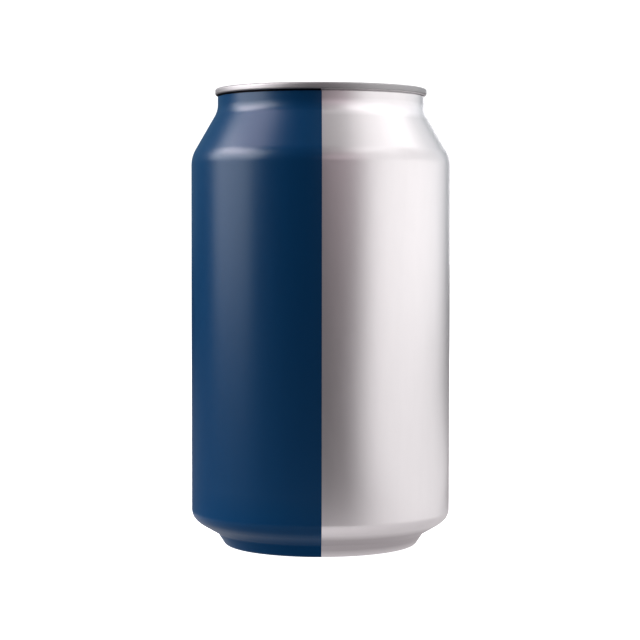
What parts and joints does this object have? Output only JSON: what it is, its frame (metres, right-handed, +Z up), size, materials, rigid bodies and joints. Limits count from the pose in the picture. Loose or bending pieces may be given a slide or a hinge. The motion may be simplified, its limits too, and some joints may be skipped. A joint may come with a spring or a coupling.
{
  "type": "drinks can",
  "caption": "Sealed aluminium drinks can with a necked top, seamed end and stay-on tab; one half lacquered navy, the other half bare metal.",
  "frame": {"origin": "on the can's axis, in the plane of the foot ring that it stands on", "axes": "+Z up along the can's axis, -Y towards the mouth and the viewer of the picture, +X towards the bare metal half"},
  "size_m": [0.0662, 0.0662, 0.1166],
  "materials": {
    "lacquer": "satin navy lacquer on the half at -X, bare satin aluminium on the half at +X",
    "bare_metal": "bare satin aluminium, of the end and of the body where no lacquer covers it",
    "tab_metal": "bright mill finish"
  },
  "bodies": {
    "root": {"can_body": "lacquer", "can_end": "bare_metal", "tab": "tab_metal"}
  },
  "joints": []
}
